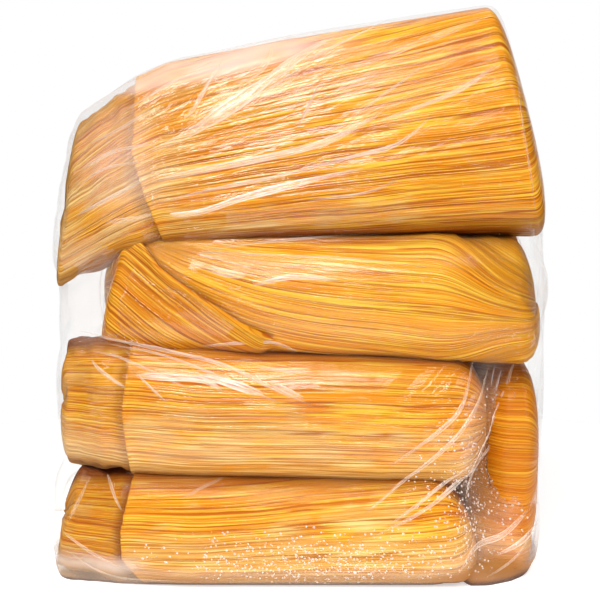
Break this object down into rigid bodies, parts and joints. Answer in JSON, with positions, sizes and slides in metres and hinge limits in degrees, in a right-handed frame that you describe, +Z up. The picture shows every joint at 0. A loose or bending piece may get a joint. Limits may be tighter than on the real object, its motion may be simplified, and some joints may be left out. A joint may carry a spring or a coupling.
{
  "type": "film pack of tamales",
  "caption": "Tall pack of tamales in corn husk, stacked in layers under tight clear film, standing on its flat base.",
  "frame": {"origin": "middle of the flat base that the pack stands on", "axes": "+Z up, -Y towards the front, where the tamales' folded flaps show, +X along the tamales to the right"},
  "size_m": [0.1737, 0.0878, 0.1992],
  "materials": {
    "husk_under_film": "clear glossy film drawn over orange husk",
    "clear_film": "clear, glossy, finely creased",
    "corn_husk": "damp ribbed corn husk, satin",
    "condensation": "clear water drops"
  },
  "bodies": {
    "root": {"film_pack": "husk_under_film"}
  },
  "joints": []
}
